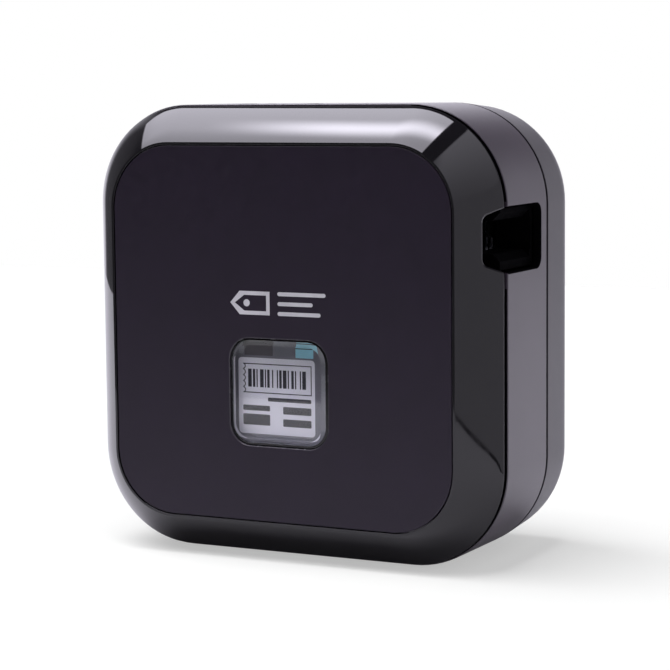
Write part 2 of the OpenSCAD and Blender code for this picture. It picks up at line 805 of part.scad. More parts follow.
module label_tape() {
    x = label_pos[0] - label_roll_r - 0.15;
    color("#f2f1ec") along_y(tape_y0, tape_y1) band(concat([[x, label_pos[1]]],
        arc([x + 3.05, tape_z - 3.05], 3.05, 180, 90, 6), [[fixed_x - 0.05, tape_z]]), tape_t);
}

module ink_ribbon() {
    z = tape_z - 0.13;
    color("#17171a") along_y(tape_y0, tape_y1) band([[ribbon_pos[0], ribbon_pos[1] + ribbon_r + 0.1],
        [5, z], [30.5, z], [30.9, z - 0.4], [30.9, 79.4], [take_pos[0] + take_up_r + 0.2, take_pos[1]]], 0.06);
}

mid_frame();
back_cover();
rubber_feet();
case_screws();
hinge_pin();
lid_shell();
face_panel();
window_gasket();
window_lens();
lid_liner();
power_button();
feed_button();
button_board();
tact_switches();
light_pipe();
main_board();
board_chips();
board_connectors();
radio_module();
usb_socket();
battery_cells();
battery_holder();
chassis_plate();
cassette_posts();
cassette_switch();
print_head();
head_heatsink();
head_flat_cable();
platen_holder();
holder_pivot();
holder_spring();
platen_roller();
nip_roller();
feed_motor();
motor_pinion();
idler_gear();
idler_axle();
drive_gear();
take_up_gear();
gearbox_plate();
cutter_bracket();
fixed_blade();
moving_blade();
cutter_pivot();
cutter_motor();
cutter_pinion();
exit_throat();
cassette_front_shell();
cassette_back_shell();
cassette_label();
label_tape_roll();
film_roll();
ribbon_supply_spool();
ribbon_take_up_spool();
cassette_feed_roller();
label_tape();
ink_ribbon();
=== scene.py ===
"""Looks of the label maker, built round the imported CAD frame. Metres, +X right, -Y front, +Z up."""

import json
import math

import bpy
import bmesh
from mathutils import Matrix, Vector


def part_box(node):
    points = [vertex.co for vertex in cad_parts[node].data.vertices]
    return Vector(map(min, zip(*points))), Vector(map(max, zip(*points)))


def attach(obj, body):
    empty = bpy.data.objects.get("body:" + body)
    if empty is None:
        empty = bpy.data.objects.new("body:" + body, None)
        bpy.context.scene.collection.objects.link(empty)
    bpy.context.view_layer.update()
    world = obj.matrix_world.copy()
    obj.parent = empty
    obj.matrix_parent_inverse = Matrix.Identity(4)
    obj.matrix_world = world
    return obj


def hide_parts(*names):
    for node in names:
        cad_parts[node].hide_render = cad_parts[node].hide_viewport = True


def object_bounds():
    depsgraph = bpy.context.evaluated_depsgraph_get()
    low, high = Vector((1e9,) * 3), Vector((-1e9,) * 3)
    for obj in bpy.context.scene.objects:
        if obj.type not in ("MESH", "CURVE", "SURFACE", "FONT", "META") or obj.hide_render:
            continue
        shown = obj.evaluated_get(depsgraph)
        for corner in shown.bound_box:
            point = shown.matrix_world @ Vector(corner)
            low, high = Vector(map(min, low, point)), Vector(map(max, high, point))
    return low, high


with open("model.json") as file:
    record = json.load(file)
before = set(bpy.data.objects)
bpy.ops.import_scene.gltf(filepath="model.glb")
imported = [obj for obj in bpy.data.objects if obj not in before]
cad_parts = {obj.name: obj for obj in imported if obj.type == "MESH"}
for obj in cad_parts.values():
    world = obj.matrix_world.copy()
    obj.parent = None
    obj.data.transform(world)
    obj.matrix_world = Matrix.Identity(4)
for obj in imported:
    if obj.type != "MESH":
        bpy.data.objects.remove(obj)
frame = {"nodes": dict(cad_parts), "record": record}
cad_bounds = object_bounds()

MM = 0.001


def middle(box, axis):
    """The middle of a box along one axis."""
    return (box[0][axis] + box[1][axis]) / 2


def span(box, axis):
    """The length of a box along one axis."""
    return box[1][axis] - box[0][axis]


# ---- measures of the case, most of them from the frame ----

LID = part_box("lid_shell")
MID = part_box("mid_frame")
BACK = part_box("back_cover")
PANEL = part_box("face_panel")
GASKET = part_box("window_gasket")
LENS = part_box("window_lens")
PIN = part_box("hinge_pin")
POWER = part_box("power_button")
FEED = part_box("feed_button")
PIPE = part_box("light_pipe")
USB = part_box("usb_socket")

CASE_W = span(MID, 0)
CASE_H = span(MID, 2)
CASE_Z = middle(MID, 2)
CORNER_R = 28.4 * MM
LEAST_R = 1.0 * MM
WALL = 2.2 * MM

# Depths, from the front to the back. The panel lies lower by the thickness of its printed mark.
FACE_Y = LID[0][1]
MARK_THICK = 0.04 * MM
PANEL_Y = FACE_Y + MARK_THICK
PANEL_REAR = PANEL[1][1]
LID_REAR = LID[1][1]
MID_FRONT = MID[0][1]
MID_REAR = MID[1][1]
COVER_FRONT = MID_REAR + 1.1 * MM
BACK_Y = BACK[1][1]

# The lid: the face is drawn in from the case outline, and the shoulder between them is crowned.
FACE_INSET = 10.35 * MM
FACE_R = 18.9 * MM
SHOULDER_BULGE = 0.4 * MM
BULGE_OUT, BULGE_FORWARD = 0.74, 0.67
EDGE_R = 0.3 * MM

WINDOW_X = middle(GASKET, 0)
WINDOW_Z = middle(GASKET, 2)
WINDOW_W = span(GASKET, 0)
WINDOW_H = span(GASKET, 2)
WINDOW_R = 6.4 * MM
LENS_SHIFT = (-0.16 * MM, 0.14 * MM)

HINGE_X = middle(PIN, 0)
HINGE_Y = middle(PIN, 1)
HINGE_ROUND = 2.5 * MM
HINGE_SLOTS = (38 * MM, 88 * MM)
KNUCKLE_H = 9 * MM

# The tape exit: a cut in the mid frame, and a notch in the lid that narrows forward.
EXIT_Z = 91.5 * MM
EXIT_H = 17.8 * MM
EXIT_R = 3 * MM
EXIT_REACH = 23.65 * MM
NOTCH_HALF = 8.9 * MM
NOTCH_REACH = 6.85 * MM
NOTCH_R = 2.2 * MM
NOTCH_TAPER = 1.9 * MM
NOTCH_TURN = 68
FLARE_ANGLES = [math.radians(degrees) for degrees in (0, 25, 50, 75, 90)]

# The back cover: slightly drafted sides, a round rear edge and a faint line across each side.
COVER_DRAFT = 0.9 * MM
COVER_ROUND = 12.9 * MM
COVER_LINE_Z = 109.1 * MM
SCREW_PLACES = [(x, z) for x in (-40 * MM, 40 * MM) for z in (22 * MM, 106 * MM)]
FOOT_XS = (-28 * MM, 28 * MM)
FRONT_FOOT_Y = -16 * MM
REAR_FOOT_Y = 15 * MM

BUTTON_FLANGE = 0.9 * MM

CORNER_STEPS = 20
STRAIGHT_STEPS = 10
WELD = 1e-6
SHARP_ANGLE = math.radians(38)


# ---- outlines and lofts ----

def rounded_outline(width, height, radius, steps=CORNER_STEPS, straight=STRAIGHT_STEPS):
    """Points of a rounded rectangle about the origin, anticlockwise, with even straights."""
    a = width / 2 - radius
    b = height / 2 - radius
    corners = []
    for quarter, (cx, cy) in enumerate(((a, b), (-a, b), (-a, -b), (a, -b))):
        start = quarter * math.pi / 2
        corners.append([
            (cx + radius * math.cos(start + math.pi / 2 * i / steps),
             cy + radius * math.sin(start + math.pi / 2 * i / steps))
            for i in range(steps + 1)
        ])
    points = []
    for quarter in range(4):
        points += corners[quarter]
        x0, y0 = corners[quarter][-1]
        x1, y1 = corners[(quarter + 1) % 4][0]
        points += [
            (x0 + (x1 - x0) * i / straight, y0 + (y1 - y0) * i / straight)
            for i in range(1, straight)
        ]
    return points


def case_ring(inset, y, radius=None):
    """The case outline drawn in by inset, at depth y."""
    if radius is None:
        radius = max(CORNER_R - inset, LEAST_R)
    flat = rounded_outline(CASE_W - 2 * inset, CASE_H - 2 * inset, radius)
    return [Vector((u, y, CASE_Z + v)) for u, v in flat]


def lid_ring(inset, y):
    """The same, with the lid's own corner radii, which shrink towards the face."""
    share = inset / FACE_INSET
    return case_ring(inset, y, max(CORNER_R + (FACE_R - CORNER_R) * share, LEAST_R))


def window_ring(inset, y, shift=(0, 0)):
    """The window opening drawn in by inset, with as many points as a case ring."""
    radius = max(WINDOW_R - inset, 0.2 * MM)
    flat = rounded_outline(WINDOW_W - 2 * inset, WINDOW_H - 2 * inset, radius)
    return [Vector((WINDOW_X + u + shift[0], y, WINDOW_Z + v + shift[1])) for u, v in flat]


def filleted(points, steps=5):
    """A path of (u, v, radius) corners with each corner rounded to its radius."""
    path = []
    for i, (u, v, radius) in enumerate(points):
        here = Vector((u, v))
        if radius == 0 or i in (0, len(points) - 1):
            path.append(here)
            continue
        before = (Vector(points[i - 1][:2]) - here).normalized()
        after = (Vector(points[i + 1][:2]) - here).normalized()
        half = before.angle(after) / 2
        reach = radius / math.tan(half)
        centre = here + (before + after).normalized() * (radius / math.sin(half))
        start = here + before * reach - centre
        turn = start.angle_signed(here + after * reach - centre)
        for k in range(steps + 1):
            angle = -turn * k / steps
            path.append(centre + Matrix.Rotation(angle, 2) @ start)
    return path


def new_object(name, data):
    """An object of a mesh or camera, linked to the scene."""
    made = bpy.data.objects.new(name, data)
    bpy.context.scene.collection.objects.link(made)
    return made


def mesh_object(name, verts, faces):
    mesh = bpy.data.meshes.new(name)
    mesh.from_pydata(verts, [], faces)
    return new_object(name, mesh)


def tidy_normals(mesh):
    """Outward faces, smooth shading, and sharp edges where the surface really turns."""
    work = bmesh.new()
    work.from_mesh(mesh)
    bmesh.ops.remove_doubles(work, verts=work.verts, dist=WELD)
    bmesh.ops.recalc_face_normals(work, faces=work.faces)
    work.to_mesh(mesh)
    work.free()
    mesh.shade_smooth()
    mesh.set_sharp_from_angle(angle=SHARP_ANGLE)


def loft(name, rings, closed=True):
    """A skin over rings of equal length: closed into a hoop, or capped at both ends."""
    count = len(rings[0])
    verts = [point for ring in rings for point in ring]
    faces = []
    for k in range(len(rings) if closed else len(rings) - 1):
        a = k * count
        b = ((k + 1) % len(rings)) * count
        for i in range(count):
            j = (i + 1) % count
            faces.append((a + i, a + j, b + j, b + i))
    if not closed:
        faces.append(tuple(range(count)))
        faces.append(tuple(range((len(rings) - 1) * count, len(rings) * count)))
    piece = mesh_object(name, verts, faces)
    tidy_normals(piece.data)
    return piece


def bake_modifiers(piece):
    """Applies the piece's modifiers to its mesh."""
    graph = bpy.context.evaluated_depsgraph_get()
    mesh = bpy.data.meshes.new_from_object(piece.evaluated_get(graph))
    piece.modifiers.clear()
    piece.data = mesh


def cut(piece, *cutters):
    """Cuts each cutter out of the piece and deletes it. A painted cutter leaves its look behind."""
    for cutter in cutters:
        change = piece.modifiers.new("cut", "BOOLEAN")
        change.operation = "DIFFERENCE"
        change.solver = "EXACT"
        change.material_mode = "TRANSFER" if cutter.data.materials else "INDEX"
        change.object = cutter
        bake_modifiers(piece)
        bpy.data.objects.remove(cutter)
    tidy_normals(piece.data)


def inset_of(point):
    """How far a point lies inside the case outline."""
    u = abs(point.x) - CASE_W / 2 + CORNER_R
    v = abs(point.z - CASE_Z) - CASE_H / 2 + CORNER_R
    return CORNER_R - math.hypot(max(u, 0), max(v, 0)) - min(max(u, v), 0)


def blacken_inside(piece, depth, seam_shade_at):
    """Faces of the first look that lie below the wall's skin get the dark moulding's look, and those
    in a seam a near-black look, painted shade in the seam. depth and the seam test are asked about
    each face's centre."""
    piece.data.materials.append(LOOKS["black_plastic"])
    piece.data.materials.append(LOOKS["exit_black"])
    last = len(piece.data.materials) - 1
    for face in piece.data.polygons:
        if inset_of(face.center) > depth(face.center) and face.material_index == 0:
            face.material_index = last if seam_shade_at(face.center) else last - 1


def even_shading(piece):
    """Lets broad faces stay flat where narrow fillets meet them."""
    weigh = piece.modifiers.new("shading", "WEIGHTED_NORMAL")
    weigh.keep_sharp = True
    weigh.weight = 80


def pad(name, place, width, height, radius, profile, steps=8, straight=3):
    """A solid with a rounded outline and a profile of (inset, depth) pairs. place maps
    (u, v, depth) to a point."""
    rings = []
    for inset, depth in profile:
        outline = rounded_outline(width - 2 * inset, height - 2 * inset,
                                  max(radius - inset, 0.01 * MM), steps, straight)
        rings.append([place(u, v, depth) for u, v in outline])
    return loft(name, rings, closed=False)


def paint(piece, look):
    """Gives the piece one look, before it is cut."""
    piece.data.materials.clear()
    piece.data.materials.append(LOOKS[look])
    return piece


def hide_from(piece, *rays):
    """Takes the piece out of these kinds of ray."""
    for ray in rays:
        setattr(piece, "visible_" + ray, False)


def finish_piece(piece, body, slot, *nodes, look=None):
    """Attaches the piece to its body and hides the CAD nodes that it stands for. An unpainted
    piece gets the look named, or else its slot's own."""
    if not piece.data.materials:
        piece.data.materials.append(LOOKS[look or slot])
    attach(piece, body)
    if nodes:
        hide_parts(*nodes)


# ---- materials ----

NOISE_LOW, NOISE_HIGH = 0.3, 0.7
MOTTLE = 90


def shader(name):
    """A new material with its node tree and its Principled shader."""
    made = bpy.data.materials.new(name)
    made.use_nodes = True
    return made, made.node_tree, made.node_tree.nodes["Principled BSDF"]


def set_inputs(node, values):
    """Sets the node's own sockets by name."""
    for socket, value in values.items():
        node.inputs[socket].default_value = value


def noise(tree, scale, detail=3, roughness=0.55, stretch=None):
    """A noise texture in object space, its scale in features per metre."""
    place = tree.nodes.new("ShaderNodeTexCoord")
    texture = tree.nodes.new("ShaderNodeTexNoise")
    set_inputs(texture, {"Scale": scale, "Detail": detail, "Roughness": roughness})
    vector = place.outputs["Object"]
    if stretch:
        mapping = tree.nodes.new("ShaderNodeMapping")
        set_inputs(mapping, {"Scale": stretch})
        tree.links.new(vector, mapping.inputs["Vector"])
        vector = mapping.outputs["Vector"]
    tree.links.new(vector, texture.inputs["Vector"])
    return texture.outputs["Fac"]


def map_range(tree, value, start, end, low, high, smooth=False):
    """Goes from low to high as the value goes from start to end."""
    node = tree.nodes.new("ShaderNodeMapRange")
    node.interpolation_type = "SMOOTHSTEP" if smooth else "LINEAR"
    set_inputs(node, {"From Min": start, "From Max": end, "To Min": low, "To Max": high})
    tree.links.new(value, node.inputs["Value"])
    return node.outputs["Result"]


def spread(tree, value, low, high):
    """Maps a noise value to a range."""
    return map_range(tree, value, NOISE_LOW, NOISE_HIGH, low, high)


def blend_colours(tree, value, low, high):
    """A colour ramp between two colours."""
    ramp = tree.nodes.new("ShaderNodeValToRGB")
    ends = ramp.color_ramp.elements
    ends[0].position, ends[0].color = NOISE_LOW, (*low, 1)
    ends[1].position, ends[1].color = NOISE_HIGH, (*high, 1)
    tree.links.new(value, ramp.inputs["Fac"])
    return ramp.outputs["Color"]


def scaled(colour, share):
    return tuple(part * share for part in colour)


def bump(tree, principled, value, height):
    """Raises the surface by a texture, height in metres."""
    node = tree.nodes.new("ShaderNodeBump")
    set_inputs(node, {"Distance": height, "Strength": 1.0})
    tree.links.new(value, node.inputs["Height"])
    tree.links.new(node.outputs["Normal"], principled.inputs["Normal"])


def dress(tree, principled, texture, low, high, gloss, rough):
    """Colour between low and high by one texture, and roughness by another."""
    tree.links.new(blend_colours(tree, texture, low, high), principled.inputs["Base Color"])
    tree.links.new(spread(tree, gloss, *rough), principled.inputs["Roughness"])


def plastic(name, colour, rough, grain, height, tint=0.12, specular=0.5):
    """Moulded plastic: fine grain, slightly uneven gloss and colour."""
    made, tree, principled = shader(name)
    mottle = noise(tree, MOTTLE, detail=4)
    gloss = noise(tree, MOTTLE * 4, detail=2, roughness=0.5)
    dress(tree, principled, mottle, scaled(colour, 1 - tint), scaled(colour, 1 + tint), gloss,
          rough)
    bump(tree, principled, noise(tree, grain, detail=2), height * MM)
    set_inputs(principled, {"Specular IOR Level": specular})
    return made


def metal(name, colour, rough, stretch):
    """Brushed or turned metal: long fine scratches in the bump and the gloss."""
    made, tree, principled = shader(name)
    set_inputs(principled, {"Metallic": 1})
    lines = noise(tree, 900, detail=4, roughness=0.7, stretch=stretch)
    dress(tree, principled, lines, scaled(colour, 0.86), colour, lines, rough)
    bump(tree, principled, lines, 0.004 * MM)
    return made


def clear_plastic(name, colour, rough):
    """Clear moulding with the faintest flow marks."""
    made, tree, principled = shader(name)
    set_inputs(principled, {"Base Color": (*colour, 1), "Transmission Weight": 1, "IOR": 1.49})
    flow = noise(tree, 120, detail=2)
    tree.links.new(spread(tree, flow, *rough), principled.inputs["Roughness"])
    return made


def circuit_board(name):
    """Green solder resist over faint raised tracks."""
    made, tree, principled = shader(name)
    dark_green, light_green = (0.012, 0.085, 0.04), (0.03, 0.16, 0.075)
    place = tree.nodes.new("ShaderNodeTexCoord")
    cells = tree.nodes.new("ShaderNodeTexVoronoi")
    cells.distance = "MANHATTAN"
    set_inputs(cells, {"Scale": 420})
    tree.links.new(place.outputs["Object"], cells.inputs["Vector"])
    tracks = map_range(tree, cells.outputs["Distance"], 0.42, 0.5, 0, 1)
    dress(tree, principled, tracks, dark_green, light_green, noise(tree, 300), (0.22, 0.36))
    bump(tree, principled, tracks, 0.03 * MM)
    return made


def wound_film(name, colour, rough):
    """The side and rim of a wound roll: fine turns that catch the light."""
    made, tree, principled = shader(name)
    turns = noise(tree, 2600, detail=3, roughness=0.6, stretch=(1, 0.15, 1))
    dress(tree, principled, turns, scaled(colour, 0.8), colour, turns, rough)
    bump(tree, principled, turns, 0.01 * MM)
    return made


# Each row is a colour, a range of roughness, the grain's features per metre and its height in mm,
# and where they differ from plastic()'s own, the tint and the specular level.
PLASTICS = {
    "case_satin": ((0.0315, 0.0228, 0.0345), (0.298, 0.312), 5200, 0.01, 0.12, 0.8),
    "cover_satin": ((0.0165, 0.0128, 0.0185), (0.335, 0.35), 5200, 0.01, 0.12, 0.42),
    "gloss_black": ((0.0065, 0.006, 0.0072), (0.025, 0.05), 420, 0.0006),
    "face_satin": ((0.0095, 0.0045, 0.0145), (0.42, 0.5), 5200, 0.014, 0.12, 0.38),
    "gasket_black": ((0.003, 0.003, 0.0033), (0.12, 0.22), 900, 0.003, 0.12, 0.4),
    # A near-black, matt look: painted shade inside the tape exit, in the seams and in grooves.
    "exit_black": ((0.0009, 0.0008, 0.0012), (0.7, 0.8), 2600, 0.02, 0.12, 0.02),
    # The cut edge round the window: glossier, and paler as a painted highlight.
    "panel_edge": ((0.05, 0.046, 0.056), (0.2, 0.3), 900, 0.002),
    "black_plastic": ((0.02, 0.02, 0.022), (0.45, 0.6), 2600, 0.02),
    "rubber_black": ((0.018, 0.018, 0.019), (0.75, 0.9), 1800, 0.04),
    "head_ceramic": ((0.62, 0.58, 0.5), (0.12, 0.22), 1200, 0.004),
    "chip_black": ((0.015, 0.015, 0.017), (0.4, 0.55), 4200, 0.012),
    "connector_white": ((0.72, 0.68, 0.58), (0.35, 0.5), 1500, 0.01),
    "gear_white": ((0.78, 0.76, 0.69), (0.3, 0.42), 1300, 0.008),
    "cell_wrap": ((0.03, 0.12, 0.34), (0.14, 0.26), 500, 0.01),
    "flex_amber": ((0.45, 0.2, 0.03), (0.15, 0.3), 900, 0.006),
    "cassette_grey": ((0.235, 0.235, 0.27), (0.3, 0.42), 3400, 0.014),
    "label_paper": ((0.91, 0.89, 0.96), (0.4, 0.55), 2400, 0.006, 0.03),
    "label_margin": ((0.165, 0.16, 0.195), (0.35, 0.5), 2400, 0.006, 0.05),
    "print_dark": ((0.016, 0.014, 0.024), (0.4, 0.5), 2400, 0.004, 0.12, 0.3),
    "print_shade": ((0.075, 0.066, 0.078), (0.4, 0.5), 2400, 0.004),
    "print_grey": ((0.17, 0.17, 0.2), (0.4, 0.5), 2400, 0.004),
    "print_teal": ((0.34, 0.74, 0.88), (0.4, 0.5), 2400, 0.004),
    "print_mark": ((0.56, 0.55, 0.59), (0.4, 0.5), 2400, 0.004),
}
# Colour, range of roughness and how far the scratches are stretched along X, Y and Z.
METALS = {
    "steel": ((0.62, 0.63, 0.65), (0.2, 0.36), (1, 0.05, 1)),
    "blade_steel": ((0.72, 0.73, 0.75), (0.12, 0.24), (1, 1, 0.06)),
    "heatsink_alu": ((0.78, 0.79, 0.8), (0.3, 0.42), (1, 0.04, 1)),
    "brass": ((0.83, 0.62, 0.26), (0.16, 0.3), (1, 0.1, 1)),
}
CLEAR_PLASTICS = {
    "clear_lens": ((0.97, 0.98, 1.0), (0.0, 0.03)),
    "light_guide": ((0.9, 1.0, 0.94), (0.1, 0.25)),
}
WOUND_FILMS = {
    "tape_white": ((0.82, 0.81, 0.78), (0.18, 0.3)),
    "film_clear": ((0.62, 0.7, 0.75), (0.12, 0.25)),
    "ribbon_black": ((0.03, 0.03, 0.034), (0.2, 0.35)),
}
LOOKS = {
    name: make(name, *row)
    for make, rows in ((plastic, PLASTICS), (metal, METALS), (clear_plastic, CLEAR_PLASTICS),
                       (wound_film, WOUND_FILMS), (circuit_board, {"board_green": ()}))
    for name, row in rows.items()
}
# The exit's throat gets the near-black look, painted shade inside the exit.
NODE_LOOKS = {"exit_throat": "exit_black", "cassette_label": "label_margin"}


def dress_cad_nodes():
    """Every CAD node gets the look of its material slot, or its own where NODE_LOOKS has one."""
    for row in frame["record"]["subparts"]:
        node = frame["nodes"][row["node"]]
        node.data.materials.clear()
        node.data.materials.append(LOOKS[NODE_LOOKS.get(row["node"], row["material_slot"])])


# ---- cutters ----

def exit_cutter_side():
    """The tape exit through the straight side wall, flared at the surface."""
    surface = MID[1][0]
    flare = 0.35 * MM
    deep, beyond = 8 * MM, 2 * MM
    front, rear = -40 * MM, MID_FRONT + EXIT_REACH
    profile = [(0, surface - deep)]
    profile += [(-flare * (1 - math.cos(a)), surface - flare + flare * math.sin(a))
                for a in FLARE_ANGLES]
    profile.append((-flare, surface + beyond))

    def place(u, v, depth):
        return Vector((depth, (rear + front) / 2 + u, EXIT_Z + v))
    cutter = pad("exit_cutter", place, rear - front, EXIT_H, EXIT_R, profile, 10, 4)
    # The exit's walls get the near-black look, painted shade inside the exit.
    return paint(cutter, "exit_black")


def notch_outline(grow, steps=8):
    """The lid's part of the tape exit in the plane of its shoulder, u from the lid's rear edge
    towards the front: it narrows forward and has rounded front corners."""
    half = NOTCH_HALF + grow
    reach = NOTCH_REACH + grow
    radius = NOTCH_R + grow
    top = [(u, half) for u in (-12 * MM, -6 * MM, -0.4 * MM)]
    centre = (reach - radius, half - NOTCH_TAPER - radius)
    top += [(centre[0] + radius * math.cos(a), centre[1] + radius * math.sin(a))
            for a in (math.radians(NOTCH_TURN * (1 - k / steps)) for k in range(steps + 1))]
    return top + [(u, -v) for u, v in reversed(top)]


def exit_cutter_lid():
    """Cuts the tape exit through the lid's shoulder, square to the slope and flared at the
    surface. It leaves gloss on the flare and, deeper in, a near-black look as painted shade."""
    slope = Vector((LID_REAR - FACE_Y, -FACE_INSET, 0)).normalized()
    forward = Vector((slope.y, -slope.x, 0))
    edge = Vector((CASE_W / 2, LID_REAR, EXIT_Z))
    flare, proud = 1.0 * MM, 0.25 * MM
    deep, beyond, painted_shade_from = -9 * MM, 4 * MM, -1.1 * MM
    profile = [(0, deep)]
    profile += [(flare * (1 - math.cos(a)), -flare + flare * math.sin(a) + proud)
                for a in FLARE_ANGLES]
    profile.append((flare, beyond))
    rings = [[edge + forward * u + slope * depth + Vector((0, 0, v))
              for u, v in notch_outline(grow)] for grow, depth in profile]
    cutter = paint(loft("exit_cutter", rings, closed=False), "gloss_black")
    cutter.data.materials.append(LOOKS["exit_black"])
    for face in cutter.data.polygons:
        # Faces deeper in get the near-black look, painted shade inside the exit.
        if (face.center - edge).dot(slope) < painted_shade_from:
            face.material_index = 1
    return cutter


def rod_cutter(name, centre, axis, radius, start, end, flare):
    """A round cutter along an axis from start to end, flared at its end and then 3 mm longer."""
    other = Vector((axis[1], axis[2], axis[0]))
    side = axis.cross(other).normalized()
    up = axis.cross(side)

    def place(u, v, depth):
        return centre + side * u + up * v + axis * depth
    profile = [(0, start), (0, end - flare), (-flare, end), (-flare, end + 3 * MM)]
    return pad(name, place, 2 * radius, 2 * radius, radius, profile, 12, 1)


def top_cutter(name, box, width, height, radius):
    """A hole through the top wall, over the middle of a box."""
    top = MID[1][2]
    flare = 0.25 * MM
    x, y = middle(box, 0), middle(box, 1)
    profile = [(0, top - 5 * MM), (0, top - flare), (-flare, top), (-flare, top + 2 * MM)]
    return pad(name, lambda u, v, depth: Vector((x + u, y + v, depth)),
               width, height, radius, profile, 12, 3)


def foot_cutter(x, y, z):
    """The recess round a rubber foot, in a bottom at height z."""
    radius, depth, flare = 4.2 * MM, 1.2 * MM, 0.2 * MM
    return rod_cutter("foot_hole", Vector((x, y, z)), Vector((0, 0, -1)), radius, -depth, 0.0,
                      flare)


# ---- lid ----

def build_lid_shell():
    """The gloss shell, one hoop from its inner edge over the shoulder to the window's opening."""
    steps = 14
    inner_y = PANEL_REAR + 1.3 * MM
    slope = FACE_INSET / (LID_REAR - FACE_Y)
    inner_rear = WALL * math.sqrt(1 + slope * slope)
    inner_front = inner_rear + slope * (LID_REAR - inner_y)
    rear_edge_r = 0.52 * MM
    recess, recess_r = FACE_INSET + 0.6 * MM, 0.12 * MM
    shoulder = []
    for i in range(steps + 1):
        t = i / steps
        out = 4 * SHOULDER_BULGE * t * (1 - t)
        shoulder.append((FACE_INSET * t - out * BULGE_OUT,
                         LID_REAR + (FACE_Y - LID_REAR) * t - out * BULGE_FORWARD, 0))
    # The first points of the shoulder make room for the rounded rear edge.
    path = filleted([(inner_rear, LID_REAR - MM, 0), (inner_rear, LID_REAR, EDGE_R),
                     (0, LID_REAR, rear_edge_r)] + shoulder[2:-1]
                    + [(FACE_INSET, FACE_Y, EDGE_R), (recess, FACE_Y, recess_r),
                       (recess, PANEL_REAR, 0)])
    rings = [lid_ring(u, v) for u, v in path]
    rings += [window_ring(0, PANEL_REAR), window_ring(0, inner_y), lid_ring(inner_front, inner_y)]
    shell = paint(loft("lid_shell_skin", rings), "gloss_black")
    cut(shell, exit_cutter_lid())
    even_shading(shell)
    finish_piece(shell, "lid", "gloss_black", "lid_shell")


def build_face_panel():
    """The satin panel, with rounded edges and a glossier look on the cut edge round the window,
    whose paler colour is a painted highlight.
    """
    inset = FACE_INSET + 0.9 * MM
    flat = 2 * MM
    path = filleted([(inset, PANEL_REAR, 0), (inset, PANEL_Y, EDGE_R), (inset + flat, PANEL_Y, 0)])
    hole = filleted([(flat, PANEL_Y, 0), (0, PANEL_Y, EDGE_R), (0, PANEL_REAR, 0)])
    rings = [lid_ring(u, v) for u, v in path] + [window_ring(-u, v) for u, v in hole]
    panel = paint(loft("face_panel_skin", rings), "face_satin")
    # The cut edge round the window gets a paler look, a painted highlight.
    panel.data.materials.append(LOOKS["panel_edge"])
    facing_front = -0.98
    for face in panel.data.polygons:
        by_window = (abs(face.center.x - WINDOW_X) < WINDOW_W / 2 + MM
                     and abs(face.center.z - WINDOW_Z) < WINDOW_H / 2 + MM)
        if by_window and face.normal.y > facing_front:
            face.material_index = 1
    even_shading(panel)
    finish_piece(panel, "lid", "face_satin", "face_panel")


def build_window():
    """The black seal round the window, and the clear window with its bevelled edge."""
    seal, sunk = 0.75 * MM, 0.12 * MM
    outer, inner = 0.02 * MM, seal - 0.05 * MM
    bevel_w, bevel_d = 1.2 * MM, 0.7 * MM
    centre = 9 * MM
    front, rear = LENS[0][1], LENS[1][1]
    flange_front = GASKET[1][1]
    profile = filleted([(outer, flange_front, 0), (outer, GASKET[0][1] + 0.1 * MM, 0.15 * MM),
                        (inner, front + sunk, 0.1 * MM), (inner, flange_front, 0)])
    gasket = loft("window_gasket_ring", [window_ring(u, v, LENS_SHIFT if u > seal / 2 else (0, 0))
                                         for u, v in profile])
    finish_piece(gasket, "lid", "gasket_black", "window_gasket")

    flange = -(span(LENS, 0) - WINDOW_W) / 2
    profile = filleted([(centre, front, 0), (seal + bevel_w, front, 0.2 * MM),
                        (seal, front + bevel_d, 0.12 * MM), (seal, flange_front, 0),
                        (flange, flange_front, 0.1 * MM), (flange, rear, 0.1 * MM),
                        (centre, rear, 0)], 4)
    lens = loft("window_lens_clear", [window_ring(u, v, LENS_SHIFT) for u, v in profile],
                closed=False)
    even_shading(lens)
    hide_from(lens, "shadow")
    finish_piece(lens, "lid", "clear_lens", "window_lens")


# ---- mid frame and back ----

def build_mid_frame():
    """The mid frame with a lip towards each seam, its faces in the seams near-black as painted
    shade, and the rib that carries the hinge.
    """
    lip, lip_r = 0.9 * MM, 0.15 * MM
    front_lip = MID_FRONT - 0.6 * MM
    rear_lip = COVER_FRONT - 0.1 * MM
    path = filleted([(WALL, MID_FRONT + MM, 0), (WALL, front_lip, lip_r), (lip, front_lip, lip_r),
                     (lip, MID_FRONT, 0), (0, MID_FRONT, EDGE_R), (0, MID_REAR, 0.2 * MM),
                     (lip, MID_REAR, 0), (lip, rear_lip, 0), (WALL, rear_lip, 0),
                     (WALL, MID_REAR - MM, 0)])
    shell = paint(loft("mid_frame_skin", [case_ring(u, v) for u, v in path]), "case_satin")
    power = span(POWER, 0) - 1.3 * MM
    feed_w, feed_d = span(FEED, 0) - 1.1 * MM, span(FEED, 1) - 1.1 * MM
    feed_r = 4.05 * MM
    pipe = 2.5 * MM
    cut(shell, exit_cutter_side(), top_cutter("power_hole", POWER, power, power, power / 2),
        top_cutter("feed_hole", FEED, feed_w, feed_d, feed_r),
        top_cutter("pipe_hole", PIPE, pipe, pipe, pipe / 2))
    cut(shell, *hinge_cutters(), *[foot_cutter(x, FRONT_FOOT_Y, MID[0][2]) for x in FOOT_XS])
    skin, seam = 0.6 * MM, 0.1 * MM
    # Inner faces in the seams get the near-black look, painted shade in the seams.
    blacken_inside(shell, lambda p: skin,
                   lambda p: p.y > MID_REAR - seam or p.y < MID_FRONT + seam)
    even_shading(shell)
    finish_piece(shell, "housing", "case_satin", "mid_frame")
    finish_piece(hinge_rib(), "housing", "case_satin")


